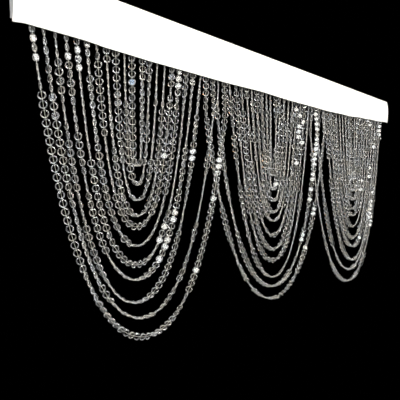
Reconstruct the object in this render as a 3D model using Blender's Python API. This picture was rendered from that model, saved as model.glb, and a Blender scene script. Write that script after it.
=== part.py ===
"""A bead curtain: a white heading band with three interlocking swags of threaded clear discs.

Metres, +Z up. The band runs along X and faces -Y. The origin is the middle of its top edge.
Each loop hangs as a chain of stiff links, one link to a bead, and is drawn as one four-sided
strand of about their width. All the loops are fused at their roots into one stringing tape,
which is sewn to the band's back. The band's front hangs lower, as a hem over the first beads.
"""

from collections import namedtuple

import bmesh
import bpy
import numpy as np

# Heading band, a flattened cloth sleeve that is fullest a little above its middle
BAND_LENGTH = 1.600
EDGE_THICKNESS = 0.0032
FRONT_CROWN = 0.005
BACK_CROWN = 0.003
CROWN_SKEW = 0.75
BAND_STEPS_ALONG = 32
BAND_STEPS_DOWN = 8

# Hem, the part of the front that hangs below the back and stands forward of it
HEM_DROP = 0.0063
HEM_FORWARD = 0.0028
HEM_THICKNESS = 0.0010

# The band's height along it, from the left-hand end. Its lower edge is uneven, and climbs at
# the right-hand end
FootPoint = namedtuple("FootPoint", "x height")
FOOT = (
    FootPoint(-0.800, 0.0955),
    FootPoint(-0.775, 0.0930),
    FootPoint(-0.665, 0.0928),
    FootPoint(-0.590, 0.0955),
    FootPoint(-0.480, 0.0970),
    FootPoint(-0.230, 0.0972),
    FootPoint(-0.080, 0.0948),
    FootPoint(0.060, 0.0968),
    FootPoint(0.280, 0.0964),
    FootPoint(0.450, 0.0930),
    FootPoint(0.570, 0.0870),
    FootPoint(0.680, 0.0828),
    FootPoint(0.800, 0.0770),
)

# Stringing tape, sewn to the back above the hem, and a little shorter than the band
TAPE_INSET = 0.012
TAPE_HEIGHT = 0.007
TAPE_THICKNESS = 0.0032
SEAM_GAP = 0.0003
SEAM_MARGIN = 0.001
THREAD_PLANE = EDGE_THICKNESS / 2 + SEAM_GAP + TAPE_THICKNESS / 2

# Beads, and the bead counts of a swag's loops, innermost first
BEAD_DIAMETER = 0.014
BEAD_PITCH = 0.0152
THREAD_WIDTH = 0.0026
THREAD_DROP = 0.0010
LOOP_BEADS = (29, 34, 39, 44, 48, 54, 60, 65, 72, 78, 85)

# Root slots along the tape, numbered from the left-hand end. The innermost loop's roots are
# nudged outward, and so are those of the loops that share a stretch with the next swag's
FIRST_ROOT = -0.7600
ROOT_PITCH = 0.0232
INNER_NUDGE = 0.0032
PAIR_NUDGE = 0.0031
LAST_PLAIN_RANK = 8

# Where two swags cross, the left one's arms lean forward and the right one's lean back
FRONT_LEAN = -0.0108
BACK_LEAN = 0.0115
LEAN_LINKS = 4

# A strand is as wide as a disc that twists looks on the whole. It bends once for each facet
# turn, its corners are cut back to the limit, and it widens over part of its first link
STRAND_WIDTH = 0.75 * BEAD_DIAMETER
FACET_TURN = np.radians(6)
CORNER_LIMIT = 1.2
SHOULDER = 0.3
PULL_RANGE = (1e-3, 1e3)
BISECTIONS = 60

# The slot in the middle of each swag, and whether the outer loops on each side interlock with
# the next swag's
Swag = namedtuple("Swag", "middle_slot left_interlocks right_interlocks")
SWAGS = (
    Swag(10.5, False, True),
    Swag(32.5, True, True),
    Swag(54.5, True, False),
)


def clear_scene():
    for obj in list(bpy.data.objects):
        bpy.data.objects.remove(obj, do_unlink=True)


def make_material(name, colour, roughness, alpha=1.0, transmission=0.0):
    material = bpy.data.materials.new(name)
    material.use_nodes = True
    shader = material.node_tree.nodes["Principled BSDF"]
    shader.inputs["Base Color"].default_value = (*colour, 1.0)
    shader.inputs["Roughness"].default_value = roughness
    shader.inputs["Metallic"].default_value = 0.0
    shader.inputs["Alpha"].default_value = alpha
    shader.inputs["Transmission Weight"].default_value = transmission
    return material


def make_object(name, tubes, material):
    """One mesh object from closed tubes, each an array of rings of points."""
    shape = bmesh.new()
    for rings in tubes:
        add_tube(shape, rings)
    bmesh.ops.recalc_face_normals(shape, faces=shape.faces)
    mesh = bpy.data.meshes.new(name)
    shape.to_mesh(mesh)
    shape.free()
    mesh.materials.append(material)
    obj = bpy.data.objects.new(name, mesh)
    bpy.context.scene.collection.objects.link(obj)
    return obj


def add_tube(shape, rings):
    """Walls between each ring of points and the next, and a cap on both ends."""
    rows = [[shape.verts.new(point) for point in ring] for ring in rings]
    for row, after in zip(rows, rows[1:]):
        for i in range(len(row)):
            shape.faces.new((row[i - 1], row[i], after[i], after[i - 1]))
    shape.faces.new(rows[0])
    shape.faces.new(rows[-1])


def foot_height(x):
    """Z of the band's lower edge, eased from each foot point to the next."""
    points = np.array(FOOT)
    after = np.clip(np.searchsorted(points[:, 0], x), 1, len(FOOT) - 1)
    start, end = points[after - 1], points[after]
    share = (x - start[..., 0]) / (end[..., 0] - start[..., 0])
    ease = share * share * (3 - 2 * share)
    return -start[..., 1] - (end[..., 1] - start[..., 1]) * ease


def sections_along():
    """X of the sections, evenly spaced, with one more at each foot point."""
    even = np.linspace(-BAND_LENGTH / 2, BAND_LENGTH / 2, BAND_STEPS_ALONG + 1)
    return np.union1d(even, [point.x for point in FOOT])


def band_rings():
    """Sections across the band: down the front, up the hem's back, and up the band's back."""
    down = np.linspace(0, 1, BAND_STEPS_DOWN + 1)
    fullness = np.sin(np.pi * down**CROWN_SKEW)
    front = -EDGE_THICKNESS / 2 - FRONT_CROWN * fullness - HEM_FORWARD * down * down
    back = EDGE_THICKNESS / 2 + BACK_CROWN * fullness
    hem_back = front[-1] + HEM_THICKNESS
    rings = []
    for x in sections_along():
        foot = foot_height(x)
        ledge = foot + HEM_DROP
        flat = ledge + TAPE_HEIGHT + SEAM_MARGIN
        front_edge = [(x, y, height) for y, height in zip(front, foot * down)]
        hem = [(x, hem_back, foot), (x, hem_back, ledge), (x, EDGE_THICKNESS / 2, ledge)]
        back_edge = [(x, y, height) for y, height in zip(back, flat * down)]
        rings.append(front_edge + hem + back_edge[::-1])
    return rings


def tape_rings():
    """Sections across the tape, which lies against the flat foot of the band's back."""
    front = THREAD_PLANE - TAPE_THICKNESS / 2
    back = THREAD_PLANE + TAPE_THICKNESS / 2
    reach = BAND_LENGTH / 2 - TAPE_INSET
    rings = []
    for x in np.clip(sections_along(), -reach, reach):
        foot = foot_height(x) + HEM_DROP
        top = foot + TAPE_HEIGHT
        rings.append([(x, front, top), (x, front, foot), (x, back, foot), (x, back, top)])
    return rings


def root_x(swag, rank, side):
    """X of a loop's root: a slot further out for each rank, and two where swags interlock."""
    interlocks = swag.left_interlocks if side < 0 else swag.right_interlocks
    shared = interlocks and rank >= LAST_PLAIN_RANK
    skipped = rank - LAST_PLAIN_RANK if shared else 0
    nudge = PAIR_NUDGE if shared else INNER_NUDGE * (rank == 0)
    slot = swag.middle_slot + side * (0.5 + rank + skipped)
    return FIRST_ROOT + slot * ROOT_PITCH + side * nudge


def chain_slopes(beads, span):
    """Slopes of a hanging chain's links, left to right.

    A link that is k links from the lowest point slopes at the arc tangent of k times a pull,
    so that every joint carries what hangs below it. Halving finds the pull for the span.
    """
    from_middle = np.arange(beads) - (beads - 1) / 2
    low, high = PULL_RANGE
    for _ in range(BISECTIONS):
        pull = np.sqrt(low * high)
        if BEAD_PITCH * np.cos(np.arctan(from_middle * pull)).sum() > span:
            low = pull
        else:
            high = pull
    return np.arctan(from_middle * pull)


def loop_joints(swag, rank, slopes):
    """Where the links of one loop join, from its left root to its right one."""
    left = root_x(swag, rank, -1)
    right = root_x(swag, rank, 1)
    steps = BEAD_PITCH * np.stack((np.cos(slopes), np.sin(slopes)), axis=1)
    flat = np.vstack(((0, 0), np.cumsum(steps, axis=0)))
    across = flat[:, 0] / (right - left)
    tilt = (foot_height(right) - foot_height(left)) * across
    z = foot_height(left) + HEM_DROP - THREAD_DROP + flat[:, 1] + tilt
    count = np.arange(len(flat))
    below_first = np.minimum(count, count[::-1]) - 1
    ramp = np.clip(below_first / LEAN_LINKS, 0, 1)
    ease = across * across * (3 - 2 * across)
    lean = BACK_LEAN * swag.left_interlocks * (1 - ease) + FRONT_LEAN * swag.right_interlocks * ease
    y = THREAD_PLANE + lean * ramp * (rank > LAST_PLAIN_RANK)
    return np.stack((left + flat[:, 0], y, z), axis=1)


def strand_path(joints, slopes):
    """Points and half widths of a strand: thin roots in the tape, and full width below."""
    bends = np.flatnonzero(np.diff(np.floor((slopes - slopes[0]) / FACET_TURN))) + 1
    last = len(slopes)
    kept = sorted({*bends, 1, 1 + LEAN_LINKS, last - 1 - LEAN_LINKS, last - 1})
    up = np.array((0, 0, THREAD_DROP + TAPE_HEIGHT / 2))
    path = [
        joints[0] + up,
        joints[0],
        joints[0] + SHOULDER * (joints[1] - joints[0]),
        *joints[kept],
        joints[last] + SHOULDER * (joints[last - 1] - joints[last]),
        joints[last],
        joints[last] + up,
    ]
    widths = np.full(len(path), STRAND_WIDTH / 2)
    widths[[0, 1, -2, -1]] = THREAD_WIDTH / 2
    return np.array(path), widths


def strand_rings(path, widths):
    """Diamond sections square to the path, drawn out at each bend so that the sides stay parallel."""
    ways = np.diff(path, axis=0)
    ways[:, 1] = 0
    ways /= np.linalg.norm(ways, axis=1)[:, None]
    before = np.vstack((ways[:1], ways))
    after = np.vstack((ways, ways[-1:]))
    along = before + after
    along /= np.linalg.norm(along, axis=1)[:, None]
    stretch = np.minimum(1 / np.sum(along * before, axis=1), CORNER_LIMIT)
    out = np.stack((-along[:, 2], np.zeros(len(path)), along[:, 0]), axis=1)
    out *= (widths * stretch)[:, None]
    across = widths[:, None] * np.array((0, 1, 0))
    return np.stack((path + out, path + across, path - out, path - across), axis=1)


def all_strands():
    strands = []
    for swag in SWAGS:
        for rank, beads in enumerate(LOOP_BEADS):
            span = root_x(swag, rank, 1) - root_x(swag, rank, -1)
            slopes = chain_slopes(beads, span)
            path, widths = strand_path(loop_joints(swag, rank, slopes), slopes)
            strands.append(strand_rings(path, widths))
    return strands


def make_heading_band():
    cloth = make_material("white cloth", (0.86, 0.85, 0.81), roughness=0.7)
    return make_object("heading_band", [band_rings()], cloth)


def make_beaded_loops():
    """The tape, with every strand joined to it."""
    clear = make_material(
        "clear acrylic beads", (0.92, 0.93, 0.92), roughness=0.08, alpha=0.5, transmission=0.8
    )
    strands = make_object("loop_strands", all_strands(), clear)
    strands.hide_render = True
    strands.display_type = "WIRE"
    loops = make_object("beaded_loops", [tape_rings()], clear)
    join = loops.modifiers.new("strands", "BOOLEAN")
    join.operation = "UNION"
    join.solver = "EXACT"
    join.object = strands
    return loops


def main():
    clear_scene()
    make_heading_band()
    make_beaded_loops()


main()
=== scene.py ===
"""The looks of a bead curtain: a white cloth heading band with three swags of clear discs.

Metres, +Z up. The band runs along X and faces -Y. The origin is the middle of its top edge.
"""

from collections import namedtuple

import bpy
import numpy as np
from bpy.props import FloatProperty, FloatVectorProperty, PointerProperty
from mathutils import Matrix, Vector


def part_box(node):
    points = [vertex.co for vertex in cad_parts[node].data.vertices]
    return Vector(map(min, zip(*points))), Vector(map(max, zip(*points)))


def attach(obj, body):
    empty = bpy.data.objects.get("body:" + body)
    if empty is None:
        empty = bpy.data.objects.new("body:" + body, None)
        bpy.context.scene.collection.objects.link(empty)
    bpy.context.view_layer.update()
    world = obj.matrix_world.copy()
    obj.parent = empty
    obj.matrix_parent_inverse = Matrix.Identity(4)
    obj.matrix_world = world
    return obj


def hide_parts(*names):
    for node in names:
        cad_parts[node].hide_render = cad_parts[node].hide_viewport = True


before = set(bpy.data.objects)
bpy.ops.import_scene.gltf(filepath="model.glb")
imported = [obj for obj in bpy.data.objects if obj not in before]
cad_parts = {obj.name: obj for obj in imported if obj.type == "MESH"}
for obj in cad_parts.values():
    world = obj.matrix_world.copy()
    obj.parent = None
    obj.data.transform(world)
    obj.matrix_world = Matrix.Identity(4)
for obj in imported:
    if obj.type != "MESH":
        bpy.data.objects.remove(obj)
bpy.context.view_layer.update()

bl_info = {
    "name": "Bead Curtain",
    "version": (1, 0, 0),
    "blender": (4, 5, 0),
    "location": "View3D > Sidebar > Bead Curtain",
    "description": "Dresses a bead curtain's frame in cloth, thread and clear discs",
    "category": "Add Mesh",
}

MM = 0.001

band_low, band_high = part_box("heading_band")

# The band's solid: a flattened sleeve whose front hangs lower than its back, as a hem. The
# tape is sewn to the back above the hem, and the thread leaves it in the thread plane
BAND_LENGTH = band_high[0] - band_low[0]
EDGE_THICKNESS = 3.2 * MM
FRONT_CROWN = 5 * MM
BACK_CROWN = band_high[1] - EDGE_THICKNESS / 2
CROWN_SKEW = 0.75
HEM_DROP = 6.3 * MM
HEM_FORWARD = 2.8 * MM
HEM_THICKNESS = 1 * MM
TAPE_INSET = 12 * MM
TAPE_HEIGHT = 7 * MM
TAPE_THICKNESS = 3.2 * MM
SEAM_GAP = 0.3 * MM
SEAM_MARGIN = 1 * MM
THREAD_PLANE = EDGE_THICKNESS / 2 + SEAM_GAP + TAPE_THICKNESS / 2

# Points along the band and its tape, along the seams' paths, and round each stretch of the
# sleeve's section and the tape's
BAND_COLUMNS = 401
SEAM_POINTS = 1601
END_SEAM_POINTS = 200
FACE_PLACES = 42
FOLD_PLACES = 6
HEM_PLACES = 4
ARCH_PLACES = 8
TAPE_SIDES = 16
TAPE_SQUARENESS = 0.8

# The band's height along it, from the left-hand end
FootPoint = namedtuple("FootPoint", "x height")
FOOT = (
    FootPoint(-0.800, 0.0955),
    FootPoint(-0.775, 0.0930),
    FootPoint(-0.665, 0.0928),
    FootPoint(-0.590, 0.0955),
    FootPoint(-0.480, 0.0970),
    FootPoint(-0.230, 0.0972),
    FootPoint(-0.080, 0.0948),
    FootPoint(0.060, 0.0968),
    FootPoint(0.280, 0.0964),
    FootPoint(0.450, 0.0930),
    FootPoint(0.570, 0.0870),
    FootPoint(0.680, 0.0828),
    FootPoint(0.800, 0.0770),
)

# Slow waves of the cloth. Each turns at a rate along the band and at another down it, in
# radians, and their sizes are shares of half the slack
Wave = namedtuple("Wave", "size along down start")
SLOW_WAVES = (
    Wave(1.0, 21, 0, 1.3),
    Wave(0.6, 47, 2, 0),
    Wave(0.3, 113, -1, 0),
)

# The seams' pucker, whose rate drifts along the band, and the groove along each seam
PUCKER_RATE = 390
DRIFT_RATE = 61
DRIFT = 2
PUCKER_FADE = 9 * MM
GROOVE_WIDTH = 1.4 * MM
GROOVE_SHARE = 0.8

# The loops hang as in the solids: one stiff link for each bead, and the counts innermost first
BEAD_PITCH = 15.2 * MM
THREAD_DROP = 1 * MM
LOOP_BEADS = (29, 34, 39, 44, 48, 54, 60, 65, 72, 78, 85)
FIRST_ROOT = -0.7600
ROOT_PITCH = 0.0232
INNER_NUDGE = 0.0032
PAIR_NUDGE = 0.0031
LAST_PLAIN_RANK = 8
FRONT_LEAN = -10.8 * MM
BACK_LEAN = 11.5 * MM
LEAN_LINKS = 4
PULL_RANGE = (1e-3, 1e3)
BISECTIONS = 60

Swag = namedtuple("Swag", "name middle_slot left_interlocks right_interlocks")
SWAGS = (
    Swag("left", 10.5, False, True),
    Swag("middle", 32.5, True, True),
    Swag("right", 54.5, True, False),
)

# A disc's section, from the edge of one flat table over the rim to the other's, as shares of
# the radius and of half the thickness
DiscRing = namedtuple("DiscRing", "out up")
DISC_RINGS = (
    DiscRing(0.73, 1.0),
    DiscRing(1.00, 0.36),
    DiscRing(1.00, -0.36),
    DiscRing(0.73, -1.0),
)
DISC_SIDES = 16

# Share of the lamplight that a disc's surface keeps from the thread inside
SHADOW_OPACITY = 0.2

# Most discs hang flat or edge-on to this azimuth, which two pulls draw them to. The second
# one, for edge-on, is for the innermost loops and fades to nothing at the outermost
FACING = np.radians(38)
FACING_PULL = 0.4
EDGE_PULL = 0.7

# The lowest discs' usual turn and its spread, and where the random turns and tints start from
BOTTOM_TURN = np.radians(62)
BOTTOM_SPREAD = np.radians(32)
DISC_SEED = 5

# Discs on both sides of a bend this sharp turn across the loop, so that they clear each other
FREE_BEND = np.radians(28)
SHARP_BEND = np.radians(44)

# A stitch's section, from end to end, as shares of half its length and of its radius
StitchRing = namedtuple("StitchRing", "along out")
STITCH_RINGS = (
    StitchRing(-1.0, 0.3),
    StitchRing(-0.7, 1.0),
    StitchRing(0.7, 1.0),
    StitchRing(1.0, 0.3),
)
STITCH_SIDES = 5
STITCH_FILL = 0.75
SEAM_END_GAP = 2 * MM

# Rows of stitches, as heights above the band's foot
HEM_SEAM = 4.5 * MM
TAPE_SEAM = HEM_DROP + TAPE_HEIGHT / 2

# The end hems: how far they reach, where their seams run as a share of that, how far they
# stand out, and the step at their edge
END_HEM = 9 * MM
END_SEAM = 0.6
END_RISE = 0.3 * MM
END_STEP = 0.5 * MM

# The camera's place and turn, fitted to the photograph's frame of 400 by 400 pixels
IMAGE_SIDE = 400
FOCAL_PIXELS = 583
CAMERA_PLACE = (-1.3307, -0.7863, -0.3774)
CAMERA_YAW = np.radians(52.03)
CAMERA_PITCH = np.radians(0.354)
SENSOR_MM = 36

# Soft lamps, in degrees, metres and watts. Azimuth is from +X towards +Y. None of them stands
# behind what the camera sees
Lamp = namedtuple("Lamp", "name azimuth elevation distance width height power colour")
LAMPS = (
    Lamp("key", 266, 35, 1.6, 2.8, 0.7, 68, "#FFFEFB"),
    Lamp("back_high", 38, 56, 4.5, 6.0, 2.4, 50, "#FFFFFF"),
    Lamp("back_low", 38, 36, 4.5, 6.0, 1.4, 6, "#FFFAF0"),
    Lamp("right_side", -14, 8, 5.0, 4.8, 3.2, 20, "#FAFBFF"),
    Lamp("left_side", 87, 6, 5.0, 4.0, 3.2, 6, "#FFFAF0"),
    Lamp("front_strip", 175, 8, 3.0, 0.4, 1.8, 16, "#F2F7FF"),
    Lamp("blue_strip", 204, 12, 2.6, 0.07, 0.5, 0.8, "#CFE4FF"),
    Lamp("warm_spot", 2, 26, 4.5, 0.3, 0.3, 2, "#FFB868"),
)
LAMP_AIM = (0, 0, -0.3)

FLOOR_SIDES = 64
THREAD_SIDES = 6


def linear(hex_colour):
    """Scene-linear red, green and blue of an sRGB hex colour."""
    srgb = np.array([int(hex_colour[i:i + 2], 16) for i in (1, 3, 5)]) / 255
    curved = ((srgb + 0.055) / 1.055) ** 2.4
    return tuple(float(c) for c in np.where(srgb <= 0.04045, srgb / 12.92, curved))


class BandLooks(bpy.types.PropertyGroup):
    """Sizes and colours of the heading band, its tape and its stitches."""

    cloth_thickness: FloatProperty(
        name="Cloth thickness", description="Wall of the band's sleeve",
        default=0.8 * MM, min=0.2 * MM, max=1.5 * MM, unit="LENGTH",
    )
    slack: FloatProperty(
        name="Slack", description="How far the cloth waves in and out between its folds",
        default=0.5 * MM, min=0, max=2 * MM, unit="LENGTH",
    )
    pucker: FloatProperty(
        name="Pucker", description="How far the seam draws the cloth in and out",
        default=0.25 * MM, min=0, max=1 * MM, unit="LENGTH",
    )
    stitch_length: FloatProperty(
        name="Stitch length", description="From one stitch to the next",
        default=3.6 * MM, min=1.5 * MM, max=6 * MM, unit="LENGTH",
    )
    stitch_width: FloatProperty(
        name="Stitch width", description="Across one stitch",
        default=0.6 * MM, min=0.2 * MM, max=1 * MM, unit="LENGTH",
    )
    cloth_colour: FloatVectorProperty(
        name="Cloth colour", description="Bleached cloth of the band and tape",
        default=linear("#F7F5EE"), subtype="COLOR", size=3, min=0, max=1,
    )


class LoopLooks(bpy.types.PropertyGroup):
    """Sizes and colours of the discs and the thread that they hang on."""

    disc_diameter: FloatProperty(
        name="Disc diameter", description="Across one flat round bead",
        default=14 * MM, min=8 * MM, max=15 * MM, unit="LENGTH",
    )
    disc_thickness: FloatProperty(
        name="Disc thickness", description="Through the middle of one bead",
        default=3.4 * MM, min=2 * MM, max=6 * MM, unit="LENGTH",
    )
    bevel_clearness: FloatProperty(
        name="Bevel clearness", description="Share of the light that the bevels let through",
        default=0.94, min=0, max=1, subtype="FACTOR",
    )
    twist_step: FloatProperty(
        name="Twist step", description="How far a bead usually turns from the one above it",
        default=np.radians(14), min=0, max=np.pi, subtype="ANGLE",
    )
    quick_turns: FloatProperty(
        name="Quick turns", description="Share of the beads that turn well away from the one above",
        default=0.14, min=0, max=1, subtype="FACTOR",
    )
    thread_diameter: FloatProperty(
        name="Thread diameter", description="Across the stringing thread",
        default=0.5 * MM, min=0.3 * MM, max=2 * MM, unit="LENGTH",
    )
    disc_colour: FloatVectorProperty(
        name="Disc colour", description="Clear acrylic",
        default=linear("#FBFCFB"), subtype="COLOR", size=3, min=0, max=1,
    )
    thread_colour: FloatVectorProperty(
        name="Thread colour", description="Undyed stringing thread",
        default=linear("#D8D3C6"), subtype="COLOR", size=3, min=0, max=1,
    )


class StageLooks(bpy.types.PropertyGroup):
    """The floor and the strength of the studio light."""

    floor_drop: FloatProperty(
        name="Floor drop", description="From the band's top edge down to the floor",
        default=1.9, min=0.8, max=3, unit="LENGTH",
    )
    floor_radius: FloatProperty(
        name="Floor radius", description="Half the width of the round floor",
        default=2.2, min=0.8, max=2.2, unit="LENGTH",
    )
    brightness: FloatProperty(
        name="Brightness", description="Strength of all the lamps",
        default=1, min=0, max=4, subtype="FACTOR",
    )
    floor_colour: FloatVectorProperty(
        name="Floor colour", description="Plain pale floor",
        default=linear("#DAD8D3"), subtype="COLOR", size=3, min=0, max=1,
    )


def add_node(tree, kind, inputs=None, **settings):
    """Adds a node with its settings. An input is a value, or the socket that it is linked to."""
    node = tree.nodes.new(kind)
    for name, value in settings.items():
        setattr(node, name, value)
    for name, value in (inputs or {}).items():
        if isinstance(value, bpy.types.NodeSocket):
            tree.links.new(value, node.inputs[name])
        else:
            node.inputs[name].default_value = value
    return node


def new_material(name, colour, roughness, **constants):
    """A material whose Principled shader has these constants. Gives its tree and the shader."""
    material = bpy.data.materials.new(name)
    material.use_nodes = True
    shader = material.node_tree.nodes["Principled BSDF"]
    shader.inputs["Base Color"].default_value = (*colour, 1)
    shader.inputs["Roughness"].default_value = roughness
    for socket, value in constants.items():
        shader.inputs[socket.replace("_", " ")].default_value = value
    return material, material.node_tree, shader


def band_scale(spacing):
    """A Wave texture's scale for bands this far apart, because it draws sin(20 scale x)."""
    return np.pi / (10 * spacing)


def woven_cloth(name, colour, spacing, depth):
    """Bleached cotton and polyester cloth, plain woven.

    Matt and soft, with a faint halo at grazing angles and threads that pass over and under.
    The real threads are half as far apart, which is too fine to show here.
    """
    material, tree, shader = new_material(
        name, colour, 0.78, Sheen_Weight=0.2, Sheen_Roughness=0.4, Specular_IOR_Level=0.3
    )
    place = add_node(tree, "ShaderNodeUVMap", uv_map="cloth").outputs["UV"]
    scale = band_scale(spacing)
    warp = add_node(
        tree, "ShaderNodeTexWave", {"Vector": place, "Scale": scale}, bands_direction="X"
    )
    weft = add_node(
        tree, "ShaderNodeTexWave", {"Vector": place, "Scale": scale}, bands_direction="Y"
    )
    over = add_node(
        tree, "ShaderNodeMath", {0: warp.outputs["Fac"], 1: weft.outputs["Fac"]},
        operation="MULTIPLY",
    )
    slub = add_node(tree, "ShaderNodeTexNoise", {"Vector": place, "Scale": 45, "Detail": 4})
    height = add_node(
        tree, "ShaderNodeMath", {0: slub.outputs["Fac"], 1: over.outputs[0]}, operation="ADD"
    )
    bump = add_node(
        tree, "ShaderNodeBump", {"Height": height.outputs[0], "Strength": 0.5, "Distance": depth}
    )
    shade = add_node(
        tree, "ShaderNodeMapRange",
        {"Value": slub.outputs["Fac"], "To Min": 0.94, "To Max": 1.03},
    )
    tone = add_node(
        tree, "ShaderNodeHueSaturation",
        {"Value": shade.outputs["Result"], "Color": (*colour, 1)},
    )
    tree.links.new(tone.outputs["Color"], shader.inputs["Base Color"])
    tree.links.new(bump.outputs["Normal"], shader.inputs["Normal"])
    return material


def twisted_thread(name, colour, lay, strands):
    """Spun polyester thread, of a few strands twisted together.

    Slightly glossy, with slanting grooves a lay apart along its length. Its colour is painted
    darker in the grooves, as painted shade between the strands.
    """
    material, tree, shader = new_material(name, colour, 0.5, Sheen_Weight=0.15)
    place = add_node(tree, "ShaderNodeUVMap", uv_map="thread").outputs["UV"]
    turned = add_node(
        tree, "ShaderNodeMapping",
        {"Vector": place, "Scale": (strands / lay, strands, 1)},
    )
    grooves = add_node(
        tree, "ShaderNodeTexWave",
        {"Vector": turned.outputs["Vector"], "Scale": band_scale(1)},
        bands_direction="DIAGONAL",
    )
    bump = add_node(
        tree, "ShaderNodeBump",
        {"Height": grooves.outputs["Fac"], "Strength": 0.6, "Distance": 0.15 * MM},
    )
    # Painted shade: the colour falls to 0.8 of itself in the grooves, the low places of the bump,
    # where shade would fall between the strands
    shade = add_node(
        tree, "ShaderNodeMapRange",
        {"Value": grooves.outputs["Fac"], "To Min": 0.8, "To Max": 1.0},
    )
    tone = add_node(
        tree, "ShaderNodeHueSaturation",
        {"Value": shade.outputs["Result"], "Color": (*colour, 1)},
    )
    tree.links.new(tone.outputs["Color"], shader.inputs["Base Color"])
    tree.links.new(bump.outputs["Normal"], shader.inputs["Normal"])
    return material


def moulded_acrylic(name, colour, clearness, smoothest, roughest):
    """Clear acrylic, injection moulded and tumble polished.

    It bends light as acrylic does, IOR 1.49. The flat tables are clear, and the bevels and the
    rim keep a fine satin from the tumbling, so that they gather the light into a white ring.
    The finish is a little duller in patches. Lamplight passes through to the thread inside.
    """
    material, tree, shader = new_material(
        name, colour, smoothest, Transmission_Weight=clearness, IOR=1.49
    )
    tint = add_node(tree, "ShaderNodeAttribute", attribute_name="tint")
    ramp = add_node(tree, "ShaderNodeValToRGB", {"Fac": tint.outputs["Fac"]})
    first, last = ramp.color_ramp.elements
    first.color = (*linear("#FFFCF4"), 1)
    last.color = (*linear("#F6FAFF"), 1)
    ramp.color_ramp.elements.new(0.5).color = (*colour, 1)
    place = add_node(tree, "ShaderNodeTexCoord").outputs["Object"]
    haze = add_node(tree, "ShaderNodeTexNoise", {"Vector": place, "Scale": 1 / (4 * MM)})
    rough = add_node(
        tree, "ShaderNodeMapRange",
        {"Value": haze.outputs["Fac"], "To Min": smoothest, "To Max": roughest},
    )
    bump = add_node(
        tree, "ShaderNodeBump",
        {"Height": haze.outputs["Fac"], "Strength": 0.2, "Distance": 0.1 * MM},
    )
    tree.links.new(bump.outputs["Normal"], shader.inputs["Normal"])
    shadow = add_node(tree, "ShaderNodeLightPath").outputs["Is Shadow Ray"]
    let_through = add_node(
        tree, "ShaderNodeMapRange", {"Value": shadow, "To Min": 1, "To Max": SHADOW_OPACITY}
    )
    tree.links.new(ramp.outputs["Color"], shader.inputs["Base Color"])
    tree.links.new(rough.outputs["Result"], shader.inputs["Roughness"])
    tree.links.new(let_through.outputs["Result"], shader.inputs["Alpha"])
    return material


def matt_card(name, colour):
    """Pale matt card, rolled out as a studio floor, with a faint unevenness."""
    material, tree, shader = new_material(name, colour, 0.9)
    place = add_node(tree, "ShaderNodeTexCoord").outputs["Object"]
    noise = add_node(tree, "ShaderNodeTexNoise", {"Vector": place, "Scale": 3})
    shade = add_node(
        tree, "ShaderNodeMapRange",
        {"Value": noise.outputs["Fac"], "To Min": 0.97, "To Max": 1.02},
    )
    tone = add_node(
        tree, "ShaderNodeHueSaturation",
        {"Value": shade.outputs["Result"], "Color": (*colour, 1)},
    )
    tree.links.new(tone.outputs["Color"], shader.inputs["Base Color"])
    return material


def grid_quads(rows, columns, wraps):
    """Corner numbers of the quads between a grid's points, which are numbered row by row.

    With wraps, each row is a closed ring.
    """
    row = np.arange(rows - 1)[:, None]
    column = np.arange(columns if wraps else columns - 1)[None, :]
    after = (column + 1) % columns
    corners = (
        row * columns + column,
        row * columns + after,
        (row + 1) * columns + after,
        (row + 1) * columns + column,
    )
    return np.stack([np.broadcast_to(c, corners[2].shape) for c in corners], -1).reshape(-1, 4)


def ring_caps(rows, columns):
    """Corner numbers of the two faces that close a tube's first and last ring."""
    first = np.arange(columns)[::-1]
    last = (rows - 1) * columns + np.arange(columns)
    return np.stack((first, last))


def repeated(faces, copies, points_each):
    """The same faces for each of a number of copies, whose points follow one another."""
    starts = np.arange(copies)[:, None, None] * points_each
    return (faces[None] + starts).reshape(-1, faces.shape[1])


def make_piece(name, points, face_groups, material, uv_name=None, uv=None):
    """A mesh object from an array of points and arrays of faces, one for each count of sides."""
    corners = np.concatenate([faces.ravel() for faces in face_groups])
    sides = np.concatenate([np.full(len(f), f.shape[1]) for f in face_groups])
    mesh = bpy.data.meshes.new(name)
    mesh.vertices.add(len(points))
    mesh.vertices.foreach_set("co", points.astype(np.float32).ravel())
    mesh.loops.add(len(corners))
    mesh.loops.foreach_set("vertex_index", corners.astype(np.int32))
    mesh.polygons.add(len(sides))
    mesh.polygons.foreach_set("loop_start", (np.cumsum(sides) - sides).astype(np.int32))
    mesh.update(calc_edges=True)
    mesh.validate()
    if uv is not None:
        layer = mesh.uv_layers.new(name=uv_name)
        layer.data.foreach_set("uv", uv[corners].astype(np.float32).ravel())
    mesh.materials.append(material)
    mesh.shade_smooth()
    piece = bpy.data.objects.new(name, mesh)
    bpy.context.scene.collection.objects.link(piece)
    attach(piece, "root")
    return piece


def foot_height(x):
    """Z of the band's lower edge, eased from each foot point to the next."""
    points = np.array(FOOT)
    after = np.clip(np.searchsorted(points[:, 0], x), 1, len(FOOT) - 1)
    start, end = points[after - 1], points[after]
    share = (x - start[..., 0]) / (end[..., 0] - start[..., 0])
    ease = share * share * (3 - 2 * share)
    return -start[..., 1] - (end[..., 1] - start[..., 1]) * ease


def root_x(swag, rank, side):
    """X of a loop's root: a slot further out for each rank, and two where swags interlock."""
    interlocks = swag.left_interlocks if side < 0 else swag.right_interlocks
    shared = interlocks and rank >= LAST_PLAIN_RANK
    skipped = rank - LAST_PLAIN_RANK if shared else 0
    nudge = PAIR_NUDGE if shared else INNER_NUDGE * (rank == 0)
    slot = swag.middle_slot + side * (0.5 + rank + skipped)
    return FIRST_ROOT + slot * ROOT_PITCH + side * nudge


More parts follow.
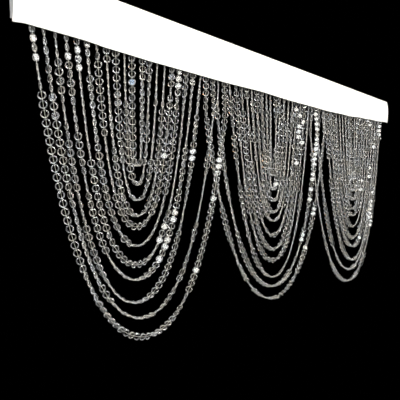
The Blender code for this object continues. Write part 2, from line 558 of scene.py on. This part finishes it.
def chain_slopes(beads, span):
    """Slopes of a hanging chain's links, left to right.

    A link that is k links from the lowest point slopes at the arc tangent of k times a pull,
    so that every joint carries what hangs below it. Halving finds the pull for the span.
    """
    from_middle = np.arange(beads) - (beads - 1) / 2
    low, high = PULL_RANGE
    for _ in range(BISECTIONS):
        pull = np.sqrt(low * high)
        if BEAD_PITCH * np.cos(np.arctan(from_middle * pull)).sum() > span:
            low = pull
        else:
            high = pull
    return np.arctan(from_middle * pull)


def loop_joints(swag, rank):
    """Where the links of one loop join, from its left root to its right one, and their slopes.

    Each joint is the sum of the links before it, tilted to meet both roots, and leant forward
    or back where the loop passes a neighbouring swag's.
    """
    left = root_x(swag, rank, -1)
    right = root_x(swag, rank, 1)
    slopes = chain_slopes(LOOP_BEADS[rank], right - left)
    steps = BEAD_PITCH * np.stack((np.cos(slopes), np.sin(slopes)), axis=1)
    flat = np.vstack(((0, 0), np.cumsum(steps, axis=0)))
    across = flat[:, 0] / (right - left)
    tilt = (foot_height(right) - foot_height(left)) * across
    z = foot_height(left) + HEM_DROP - THREAD_DROP + flat[:, 1] + tilt
    count = np.arange(len(flat))
    below_first = np.minimum(count, count[::-1]) - 1
    ramp = np.clip(below_first / LEAN_LINKS, 0, 1)
    ease = across * across * (3 - 2 * across)
    left_lean = BACK_LEAN * swag.left_interlocks * (1 - ease)
    right_lean = FRONT_LEAN * swag.right_interlocks * ease
    y = THREAD_PLANE + (left_lean + right_lean) * ramp * (rank > LAST_PLAIN_RANK)
    return np.stack((left + flat[:, 0], y, z), axis=1), slopes


def normalised(vectors):
    """The vectors divided by their lengths."""
    return vectors / np.linalg.norm(vectors, axis=-1, keepdims=True)


def carried(path, ways, offsets):
    """Rings of a profile carried along a path.

    Each ring is the path's point plus, for each of the profile's offsets, its first number
    times a side way and its second times an up way, both square to the path's own way.
    """
    ways = normalised(ways)
    side = normalised(np.cross(ways, (0, 1, 0)))
    up = np.cross(side, ways)
    sideways = side[:, None] * offsets[None, :, :1]
    upwards = up[:, None] * offsets[None, :, 1:]
    return path[:, None] + sideways + upwards


def band_columns():
    """X of the band's columns: even, with two more close together at each end hem's edge."""
    even = np.linspace(-BAND_LENGTH / 2, BAND_LENGTH / 2, BAND_COLUMNS)
    edge = BAND_LENGTH / 2 - END_HEM
    return np.union1d(even, (-edge - END_STEP, -edge, edge, edge + END_STEP))[:, None]


def cloth_waves(x, height, looks):
    """How far the cloth stands out at a place, added to both faces of the band.

    Slow sines along the band, which fade towards its folded top. Quick sines that the seams
    draw in, which fade out upwards. A shallow groove along each seam. A doubled end hem.
    """
    foot = foot_height(x)
    above = height - foot
    down = height / foot
    slow = sum(
        wave.size * np.sin(x * wave.along + down * wave.down + wave.start) for wave in SLOW_WAVES
    )
    near_tape = np.exp(-np.abs(above - TAPE_SEAM) / PUCKER_FADE)
    quick = np.sin(x * PUCKER_RATE + DRIFT * np.sin(x * DRIFT_RATE)) * near_tape
    grooves = sum(
        np.exp(-(((above - seam) / GROOVE_WIDTH) ** 2)) for seam in (HEM_SEAM, TAPE_SEAM)
    )
    doubled = np.clip((np.abs(x) - BAND_LENGTH / 2 + END_HEM) / END_STEP, 0, 1)
    return (
        looks.slack / 2 * slow * np.sin(np.pi * np.clip(down, 0, 1))
        + looks.pucker * (quick - GROOVE_SHARE * grooves)
        + END_RISE * doubled
    )


def front_depth(x, height, looks):
    """Y of the band's front: a skewed sine crown, plus the hem's way forward, plus the waves."""
    down = height / foot_height(x)
    crown = FRONT_CROWN * np.sin(np.pi * np.clip(down, 0, 1) ** CROWN_SKEW)
    return -EDGE_THICKNESS / 2 - crown - HEM_FORWARD * down**2 - cloth_waves(x, height, looks)


def back_depth(x, height, looks):
    """Y of the band's back: a skewed sine crown above the tape, plus the waves."""
    flat = foot_height(x) + HEM_DROP + TAPE_HEIGHT + SEAM_MARGIN
    down = np.clip(height / flat, 0, 1)
    crown = BACK_CROWN * np.sin(np.pi * down**CROWN_SKEW)
    free = np.clip((height - flat) / (10 * MM), 0, 1)
    return EDGE_THICKNESS / 2 + crown + free * cloth_waves(x, height, looks)


def sleeve_rings(looks):
    """The band's outer and inner surface, as functions of x and of a place round its section.

    Outside, from the top fold: down the front, round the hem's fold, up the hem's back, over
    a low arch to the back, up it, and round the top fold. Inside, the same front and back a
    wall's thickness in, closed above the seam, under the top fold and inside the sewn ends.
    Places along a straight stretch are eased by a cosine, so they are closest at its ends.
    """
    x = band_columns()
    foot = foot_height(x)
    wall = looks.cloth_thickness
    eased = (1 - np.cos(np.linspace(0, np.pi, FACE_PLACES)))[None, :] / 2
    top = -EDGE_THICKNESS / 2
    low = foot + HEM_THICKNESS / 2
    front_z = top + (low - top) * eased
    front_y = front_depth(x, front_z, looks)
    fold = np.linspace(0, np.pi, FOLD_PLACES)[None, 1:-1]
    fold_y = front_y[:, -1:] + HEM_THICKNESS / 2 * (1 - np.cos(fold))
    fold_z = low - HEM_THICKNESS / 2 * np.sin(fold)
    hem_z = low + (HEM_DROP - 2 * HEM_THICKNESS) * np.linspace(0, 1, HEM_PLACES)[None, :]
    hem_y = front_depth(x, hem_z, looks) + HEM_THICKNESS
    ledge = foot + HEM_DROP
    arch = np.linspace(0, 1, ARCH_PLACES)[None, 1:-1]
    back_start = back_depth(x, ledge, looks)
    arch_y = hem_y[:, -1:] + (back_start - hem_y[:, -1:]) * arch
    arch_z = hem_z[:, -1:] + (ledge - hem_z[:, -1:]) * arch + 0.8 * MM * np.sin(np.pi * arch)
    back_z = ledge + (top - ledge) * eased
    back_y = back_depth(x, back_z, looks)
    over = np.linspace(0, np.pi, ARCH_PLACES)[None, 1:-1]
    over_y = back_y[:, -1:] * np.cos(over / 2) ** 2 + front_y[:, :1] * np.sin(over / 2) ** 2
    over_z = top * (1 - np.sin(over))
    outer_y = np.hstack((front_y, fold_y, hem_y, arch_y, back_y, over_y))
    outer_z = np.hstack((front_z, fold_z, hem_z, arch_z, back_z, over_z + 0 * x))

    closed = ledge + TAPE_HEIGHT + SEAM_MARGIN
    across = fold_y.shape[1] + hem_y.shape[1] + arch_y.shape[1]
    inner_top = top - wall
    down_z = inner_top + (closed - inner_top) * eased
    down_y = front_depth(x, down_z, looks) + wall
    up_z = down_z[:, ::-1]
    up_y = back_depth(x, up_z, looks) - wall
    share = np.linspace(0, 1, across + 2)[None, 1:-1]
    seam_y = down_y[:, -1:] + (up_y[:, :1] - down_y[:, -1:]) * share
    lid = np.linspace(0, 1, over_y.shape[1] + 2)[None, 1:-1]
    lid_y = up_y[:, -1:] + (down_y[:, :1] - up_y[:, -1:]) * lid
    lid_z = inner_top + 0.5 * MM * np.sin(np.pi * lid)
    inner_y = np.hstack((down_y, seam_y, up_y, lid_y))
    inner_z = np.hstack((down_z, closed + 0 * share, up_z, lid_z + 0 * x))
    outer = np.stack(np.broadcast_arrays(x, outer_y, outer_z), -1)
    inside = x * (1 - 2 * wall / BAND_LENGTH)
    return outer, np.stack(np.broadcast_arrays(inside, inner_y, inner_z), -1)


def arc_lengths(rings):
    """How far each point of each ring lies round it from the first one."""
    steps = np.linalg.norm(np.diff(rings, axis=1), axis=2)
    return np.hstack((np.zeros((len(rings), 1)), np.cumsum(steps, axis=1)))


class CURTAIN_OT_heading_band(bpy.types.Operator):
    """Add the white cloth sleeve that the curtain hangs by"""

    bl_idname = "curtain.heading_band"
    bl_label = "Heading Band"

    def execute(self, context):
        looks = context.scene.band_looks
        outer, inner = sleeve_rings(looks)
        columns, ring = outer.shape[:2]
        count = columns * ring
        places = [
            np.stack(np.broadcast_arrays(rings[..., 0], arc_lengths(rings)), -1)
            for rings in (outer, inner)
        ]
        cloth = woven_cloth("woven bleached cloth", looks.cloth_colour, 0.9 * MM, 0.12 * MM)
        quads, caps = grid_quads(columns, ring, wraps=True), ring_caps(columns, ring)
        piece = make_piece(
            "band_sleeve",
            np.concatenate([rings.reshape(-1, 3) for rings in (outer, inner)]),
            [quads, quads[:, ::-1] + count, np.concatenate((caps, caps[:, ::-1] + count))],
            cloth,
            "cloth",
            np.concatenate([place.reshape(-1, 2) for place in places]),
        )
        piece.data.set_sharp_from_angle(angle=np.radians(50))
        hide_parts("heading_band")
        return {"FINISHED"}


class CURTAIN_OT_stringing_tape(bpy.types.Operator):
    """Add the folded tape across the band's back, which holds the loops

    Round its section, a circle's cosine and sine are swelled towards a square and clipped to it.
    """

    bl_idname = "curtain.stringing_tape"
    bl_label = "Stringing Tape"

    def execute(self, context):
        looks = context.scene.band_looks
        reach = BAND_LENGTH / 2 - TAPE_INSET
        x = np.linspace(-reach, reach, BAND_COLUMNS)[:, None]
        turn = (np.arange(TAPE_SIDES) + 0.5)[None, :] * 2 * np.pi / TAPE_SIDES
        swell = 1 / np.maximum(np.abs(np.cos(turn)), np.abs(np.sin(turn))) ** TAPE_SQUARENESS
        y = THREAD_PLANE - np.clip(swell * np.cos(turn), -1, 1) * TAPE_THICKNESS / 2
        middle = foot_height(x) + HEM_DROP + TAPE_HEIGHT / 2
        z = middle + TAPE_HEIGHT / 2 * np.clip(swell * np.sin(turn), -1, 1)
        points = np.stack(np.broadcast_arrays(x, y, z), -1).reshape(-1, 3)
        uv = np.stack(np.broadcast_arrays(x, turn * TAPE_THICKNESS), -1).reshape(-1, 2)
        tape = woven_cloth("woven bleached tape", looks.cloth_colour, 0.7 * MM, 0.12 * MM)
        faces = [
            grid_quads(BAND_COLUMNS, TAPE_SIDES, wraps=True),
            ring_caps(BAND_COLUMNS, TAPE_SIDES),
        ]
        piece = make_piece("stringing_tape", points, faces, tape, "cloth", uv)
        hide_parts("beaded_loops")
        return {"FINISHED"}


def row_of_stitches(path, looks, outward):
    """Stitches laid end to end along a path of closely spaced points, with gaps between them.

    The path is cut into equal steps by its arc length. Each stitch is a ring profile carried
    along the middle three quarters of its step, half sunk in the cloth.
    """
    away = np.concatenate(((0,), np.cumsum(np.linalg.norm(np.diff(path, axis=0), axis=1))))
    count = int(away[-1] / looks.stitch_length)
    marks = (np.arange(count) + 0.5) * away[-1] / count
    middles = np.stack([np.interp(marks, away, path[:, i]) for i in range(3)], -1)
    behind = np.stack([np.interp(marks - MM, away, path[:, i]) for i in range(3)], -1)
    ways = normalised(middles - behind)
    side = normalised(np.cross(ways, outward))
    rise = np.cross(side, ways)
    turn = np.arange(STITCH_SIDES) * 2 * np.pi / STITCH_SIDES
    rings = np.array(STITCH_RINGS)
    radius = looks.stitch_width / 2
    along = np.repeat(rings[:, 0] * looks.stitch_length * STITCH_FILL / 2, STITCH_SIDES)
    out = (rings[:, 1:] * np.cos(turn)).ravel() * radius
    over = (rings[:, 1:] * np.sin(turn)).ravel() * radius
    return (
        middles[:, None]
        + ways[:, None] * along[None, :, None]
        + side[:, None] * out[None, :, None]
        + rise[:, None] * over[None, :, None]
    )


class CURTAIN_OT_stitches(bpy.types.Operator):
    """Add the rows of stitches along the hem and the tape, and down the end hems"""

    bl_idname = "curtain.stitches"
    bl_label = "Stitches"

    def execute(self, context):
        looks = context.scene.band_looks
        cotton = twisted_thread("mercerised sewing thread", looks.cloth_colour, 0.8 * MM, 3)
        edge = BAND_LENGTH / 2 - END_HEM * END_SEAM
        reach = BAND_LENGTH / 2 - SEAM_END_GAP
        x = np.linspace(-reach, reach, SEAM_POINTS)
        front, back = (0, -1, 0), (0, 1, 0)
        rows = []
        for seam in (HEM_SEAM, TAPE_SEAM):
            z = foot_height(x) + seam
            seam_path = np.stack((x, front_depth(x, z, looks), z), -1)
            rows.append(row_of_stitches(seam_path, looks, front))
        taped = x[np.abs(x) < reach - TAPE_INSET]
        behind = np.full(len(taped), THREAD_PLANE + TAPE_THICKNESS / 2)
        seam_path = np.stack((taped, behind, foot_height(taped) + TAPE_SEAM), -1)
        rows.append(row_of_stitches(seam_path, looks, back))
        for end in (-edge, edge):
            z = np.linspace(-4 * MM, foot_height(end) + 15 * MM, END_SEAM_POINTS)
            here = np.full(len(z), end)
            for depth, outward in ((front_depth, front), (back_depth, back)):
                seam_path = np.stack((here, depth(here, z, looks), z), -1)
                rows.append(row_of_stitches(seam_path, looks, outward))
        points = np.concatenate(rows)
        stitches, points_each = points.shape[:2]
        one_stitch = (
            grid_quads(len(STITCH_RINGS), STITCH_SIDES, wraps=True),
            ring_caps(len(STITCH_RINGS), STITCH_SIDES),
        )
        faces = [repeated(group, stitches, points_each) for group in one_stitch]
        uv = np.stack((points[..., 0], points[..., 2]), -1).reshape(-1, 2)
        piece = make_piece("band_stitches", points.reshape(-1, 3), faces, cotton, "thread", uv)
        return {"FINISHED"}


def loop_threads(swag, looks):
    """Points, UVs and path lengths of a swag's threads, a ring at each joint of each loop."""
    turn = np.arange(THREAD_SIDES) * 2 * np.pi / THREAD_SIDES
    offsets = looks.thread_diameter / 2 * np.stack((np.cos(turn), np.sin(turn)), 1)
    tubes, places = [], []
    for rank in range(len(LOOP_BEADS)):
        joints, _ = loop_joints(swag, rank)
        up = np.array((0, 0, THREAD_DROP + TAPE_HEIGHT / 2))
        path = np.vstack((joints[:1] + up, joints, joints[-1:] + up))
        steps = normalised(np.diff(path, axis=0))
        ways = np.vstack((steps[:1], steps[:-1] + steps[1:], steps[-1:]))
        tubes.append(carried(path, ways, offsets))
        along = np.concatenate(((0,), np.cumsum(np.linalg.norm(np.diff(path, axis=0), axis=1))))
        places.append(np.stack(np.broadcast_arrays(along[:, None], turn / (2 * np.pi)), -1))
    return tubes, places


class CURTAIN_OT_threads(bpy.types.Operator):
    """Add the thread of every loop, one piece for each swag"""

    bl_idname = "curtain.threads"
    bl_label = "Threads"

    def execute(self, context):
        looks = context.scene.loop_looks
        thread = twisted_thread("twisted stringing thread", looks.thread_colour, 2.4 * MM, 3)
        for swag in SWAGS:
            tubes, places = loop_threads(swag, looks)
            quads, caps, start = [], [], 0
            for tube in tubes:
                rows, ring = tube.shape[:2]
                quads.append(start + grid_quads(rows, ring, wraps=True))
                caps.append(start + ring_caps(rows, ring))
                start += rows * ring
            piece = make_piece(
                f"threads_{swag.name}",
                np.concatenate([tube.reshape(-1, 3) for tube in tubes]),
                [np.concatenate(quads), np.concatenate(caps)],
                thread,
                "thread",
                np.concatenate([place.reshape(-1, 2) for place in places]),
            )
            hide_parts("beaded_loops")
        return {"FINISHED"}


def disc_twists(slopes, edge_pull, looks, random):
    """How far each disc of a loop is turned about its thread.

    A slow random walk with a quick turn now and then, so that discs hang in runs of like turns.
    The lowest disc has about the bottom turn, so that left arms hang mostly flat to the facing
    azimuth and right arms mostly edge-on. Each turn then loses a share of sin(4 a) / 4, where a
    is the turn from edge-on to that azimuth, and on the arms a share of sin(2 a) / 2. The first
    draws it to the nearest of flat and edge-on, and the second to edge-on. Discs at a sharp
    bend are drawn to the nearest odd quarter turn, which sets them across the loop.
    """
    beads = len(slopes)
    slow = random.normal(0, looks.twist_step, beads)
    quick = random.uniform(-1, 1, beads) * (random.uniform(0, 1, beads) < looks.quick_turns)
    walk = np.cumsum(slow + quick * np.pi / 2)
    twists = walk - walk[beads // 2] + random.normal(BOTTOM_TURN, BOTTOM_SPREAD)
    from_edge = twists - FACING * np.sin(slopes)
    on_arms = edge_pull * np.sin(slopes) ** 2
    twists -= FACING_PULL * np.sin(4 * from_edge) / 4 + on_arms * np.sin(2 * from_edge) / 2
    bends = np.concatenate(((0,), np.diff(slopes), (0,)))
    sharpest = np.maximum(bends[:-1], bends[1:])
    drawn = np.clip((sharpest - FREE_BEND) / (SHARP_BEND - FREE_BEND), 0, 1)
    across = np.pi * (np.floor(twists / np.pi) + 0.5)
    return twists + (across - twists) * drawn


def disc_points(middles, ways, twists, looks):
    """The discs' points, in rings from one table's edge over the rim to the other's.

    A point is the disc's middle, plus its radius times a cosine along the thread and a sine
    across it, plus its height along the disc's own axis. The axis is the loop's depth way and
    the way square to it and to the thread, mixed by the twist's cosine and sine.
    """
    ways = normalised(ways)
    side = normalised(np.cross(ways, (0, 1, 0)))
    depth = np.cross(side, ways)
    cosine, sine = np.cos(twists)[:, None], np.sin(twists)[:, None]
    axis = depth * cosine + side * sine
    across = np.cross(axis, ways)
    turn = (np.arange(DISC_SIDES) + 0.5) * 2 * np.pi / DISC_SIDES
    out = np.array([ring.out for ring in DISC_RINGS])[:, None] * looks.disc_diameter / 2
    up = np.array([ring.up for ring in DISC_RINGS])[:, None] * looks.disc_thickness / 2
    along_part = (out * np.cos(turn)).ravel()
    across_part = (out * np.sin(turn)).ravel()
    up_part = np.broadcast_to(up, (len(DISC_RINGS), DISC_SIDES)).ravel()
    return (
        middles[:, None]
        + ways[:, None] * along_part[None, :, None]
        + across[:, None] * across_part[None, :, None]
        + axis[:, None] * up_part[None, :, None]
    )


class CURTAIN_OT_discs(bpy.types.Operator):
    """Add the clear discs of every loop, one piece for each swag"""

    bl_idname = "curtain.discs"
    bl_label = "Discs"

    def execute(self, context):
        looks = context.scene.loop_looks
        polished = moulded_acrylic("polished clear acrylic", looks.disc_colour, 1, 0.01, 0.04)
        satin = moulded_acrylic(
            "satin clear acrylic", looks.disc_colour, looks.bevel_clearness, 0.06, 0.2
        )
        random = np.random.default_rng(DISC_SEED)
        one_disc = (
            grid_quads(len(DISC_RINGS), DISC_SIDES, wraps=True)[:, ::-1],
            ring_caps(len(DISC_RINGS), DISC_SIDES)[:, ::-1],
        )
        points_each = len(DISC_RINGS) * DISC_SIDES
        for swag in SWAGS:
            groups = []
            for rank in range(len(LOOP_BEADS)):
                joints, slopes = loop_joints(swag, rank)
                middles = (joints[:-1] + joints[1:]) / 2
                edge_pull = EDGE_PULL * (1 - rank / (len(LOOP_BEADS) - 1))
                twists = disc_twists(slopes, edge_pull, looks, random)
                groups.append(disc_points(middles, np.diff(joints, axis=0), twists, looks))
            points = np.concatenate(groups)
            discs = len(points)
            faces = [repeated(group, discs, points_each) for group in one_disc]
            piece = make_piece(f"discs_{swag.name}", points.reshape(-1, 3), faces, polished)
            piece.data.materials.append(satin)
            on_bevel = np.repeat((1, 0), [len(group) for group in faces])
            piece.data.polygons.foreach_set("material_index", on_bevel.astype(np.int32))
            self.sharpen_rings(piece.data, points_each)
            tint = piece.data.attributes.new("tint", "FLOAT", "POINT")
            shades = np.repeat(random.uniform(0, 1, discs), points_each)
            tint.data.foreach_set("value", shades.astype(np.float32))
            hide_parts("beaded_loops")
        return {"FINISHED"}

    def sharpen_rings(self, mesh, points_each):
        """Marks the edges along a disc's rings, where its bevels begin and end."""
        corners = np.empty(2 * len(mesh.edges), np.int32)
        mesh.edges.foreach_get("vertices", corners)
        rings = corners.reshape(-1, 2) % points_each // DISC_SIDES
        sharp = rings[:, 0] == rings[:, 1]
        mesh.attributes.new("sharp_edge", "BOOLEAN", "EDGE").data.foreach_set("value", sharp)


class CURTAIN_OT_stage(bpy.types.Operator):
    """Add the floor, the camera, the lamps and the dark ground behind the curtain"""

    bl_idname = "curtain.stage"
    bl_label = "Stage"

    def execute(self, context):
        looks = context.scene.stage_looks
        card = matt_card("rolled matt card", looks.floor_colour)
        turn = np.arange(FLOOR_SIDES)[None, :] * 2 * np.pi / FLOOR_SIDES
        radius = np.linspace(0.02, looks.floor_radius, 3)[:, None]
        x, y = radius * np.cos(turn), radius * np.sin(turn)
        points = np.stack(np.broadcast_arrays(x, y, -looks.floor_drop), -1).reshape(-1, 3)
        faces = [
            grid_quads(len(radius), FLOOR_SIDES, wraps=True)[:, ::-1],
            np.arange(FLOOR_SIDES)[None],
        ]
        floor = make_piece("floor", points, faces, card)

        camera = bpy.data.objects.new("camera", bpy.data.cameras.new("camera"))
        camera.location = CAMERA_PLACE
        camera.rotation_euler = (np.pi / 2 + CAMERA_PITCH, 0, -CAMERA_YAW)
        camera.data.sensor_width = SENSOR_MM
        camera.data.lens = FOCAL_PIXELS / IMAGE_SIDE * SENSOR_MM
        context.scene.collection.objects.link(camera)
        context.scene.camera = camera

        for lamp in LAMPS:
            self.add_lamp(context, lamp, looks.brightness)

        world = bpy.data.worlds.new("dark ground")
        world.use_nodes = True
        world.node_tree.nodes["Background"].inputs["Color"].default_value = (0, 0, 0, 1)
        context.scene.world = world
        context.scene.view_settings.view_transform = "Standard"
        return {"FINISHED"}

    def add_lamp(self, context, lamp, brightness):
        """A soft rectangular lamp on a sphere round the curtain, turned to its middle."""
        azimuth, elevation = np.radians((lamp.azimuth, lamp.elevation))
        away = np.array((
            np.cos(azimuth) * np.cos(elevation),
            np.sin(azimuth) * np.cos(elevation),
            np.sin(elevation),
        ))
        light = bpy.data.lights.new(lamp.name, "AREA")
        light.shape = "RECTANGLE"
        light.size, light.size_y = lamp.width, lamp.height
        light.energy = lamp.power * brightness
        light.color = linear(lamp.colour)
        holder = bpy.data.objects.new(lamp.name, light)
        holder.location = np.array(LAMP_AIM) + lamp.distance * away
        holder.rotation_mode = "XYZ"
        holder.rotation_euler = (np.pi / 2 - elevation, 0, azimuth + np.pi / 2)
        holder.visible_camera = False
        context.scene.collection.objects.link(holder)


class VIEW3D_PT_bead_curtain(bpy.types.Panel):
    """Lists the curtain's pieces and their sizes in the sidebar"""

    bl_label = "Bead Curtain"
    bl_space_type = "VIEW_3D"
    bl_region_type = "UI"
    bl_category = "Bead Curtain"

    def draw(self, context):
        for operator in OPERATORS:
            self.layout.operator(operator.bl_idname)
        for group in (getattr(context.scene, name) for name in GROUPS):
            for name in group.bl_rna.properties.keys():
                if name not in ("rna_type", "name"):
                    self.layout.prop(group, name)


OPERATORS = (
    CURTAIN_OT_stage,
    CURTAIN_OT_heading_band,
    CURTAIN_OT_stringing_tape,
    CURTAIN_OT_stitches,
    CURTAIN_OT_threads,
    CURTAIN_OT_discs,
)
GROUPS = {"band_looks": BandLooks, "loop_looks": LoopLooks, "stage_looks": StageLooks}


def register():
    for group in GROUPS.values():
        bpy.utils.register_class(group)
    for name, group in GROUPS.items():
        setattr(bpy.types.Scene, name, PointerProperty(type=group))
    for operator in OPERATORS:
        bpy.utils.register_class(operator)
    bpy.utils.register_class(VIEW3D_PT_bead_curtain)


def unregister():
    bpy.utils.unregister_class(VIEW3D_PT_bead_curtain)
    for operator in reversed(OPERATORS):
        bpy.utils.unregister_class(operator)
    for name, group in reversed(GROUPS.items()):
        delattr(bpy.types.Scene, name)
        bpy.utils.unregister_class(group)


def main():
    register()
    bpy.ops.curtain.stage()
    bpy.ops.curtain.heading_band()
    bpy.ops.curtain.stringing_tape()
    bpy.ops.curtain.stitches()
    bpy.ops.curtain.threads()
    bpy.ops.curtain.discs()


if __name__ == "__main__":
    main()
